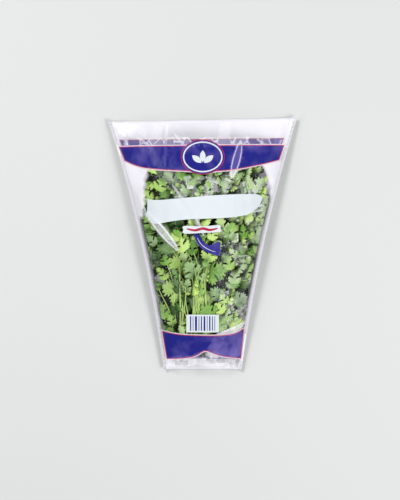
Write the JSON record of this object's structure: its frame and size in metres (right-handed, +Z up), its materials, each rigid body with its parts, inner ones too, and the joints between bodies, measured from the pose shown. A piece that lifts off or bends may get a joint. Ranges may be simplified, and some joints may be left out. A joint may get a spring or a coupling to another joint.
{
  "type": "coriander bunch",
  "caption": "Bunch of fresh coriander, thin stems with fan-shaped toothed leaflets, packed in a clear tapered film sleeve that is open at both ends and lies flat on its back.",
  "frame": {"origin": "on the surface that the bunch lies on, under the middle of the sleeve's box", "axes": "+Y along the sleeve from the cut stems to the mouth, +X to the right of the printed front, +Z up out of the front"},
  "size_m": [0.238, 0.3174, 0.0564],
  "materials": {
    "sleeve_film": "clear thin film with printed bands",
    "leaf_light": "fresh leaf, satin",
    "leaf_mid": "fresh leaf, satin",
    "leaf_dark": "fresh leaf, satin"
  },
  "bodies": {
    "root": {"sleeve_film": "sleeve_film", "leafy_stem_01": "leaf_light", "leafy_stem_02": "leaf_mid", "leafy_stem_03": "leaf_dark", "leafy_stem_04": "leaf_light", "leafy_stem_05": "leaf_mid", "leafy_stem_06": "leaf_dark", "leafy_stem_07": "leaf_light", "leafy_stem_08": "leaf_mid", "leafy_stem_09": "leaf_dark", "leafy_stem_10": "leaf_light", "leafy_stem_11": "leaf_mid", "leafy_stem_12": "leaf_dark", "leafy_stem_13": "leaf_light", "leafy_stem_14": "leaf_mid", "leafy_stem_15": "leaf_dark", "leafy_stem_16": "leaf_light", "leafy_stem_17": "leaf_mid", "leafy_stem_18": "leaf_dark", "leafy_stem_19": "leaf_light", "leafy_stem_20": "leaf_mid", "leafy_stem_21": "leaf_dark", "leafy_stem_22": "leaf_light", "leafy_stem_23": "leaf_mid", "leafy_stem_24": "leaf_dark"}
  },
  "joints": []
}
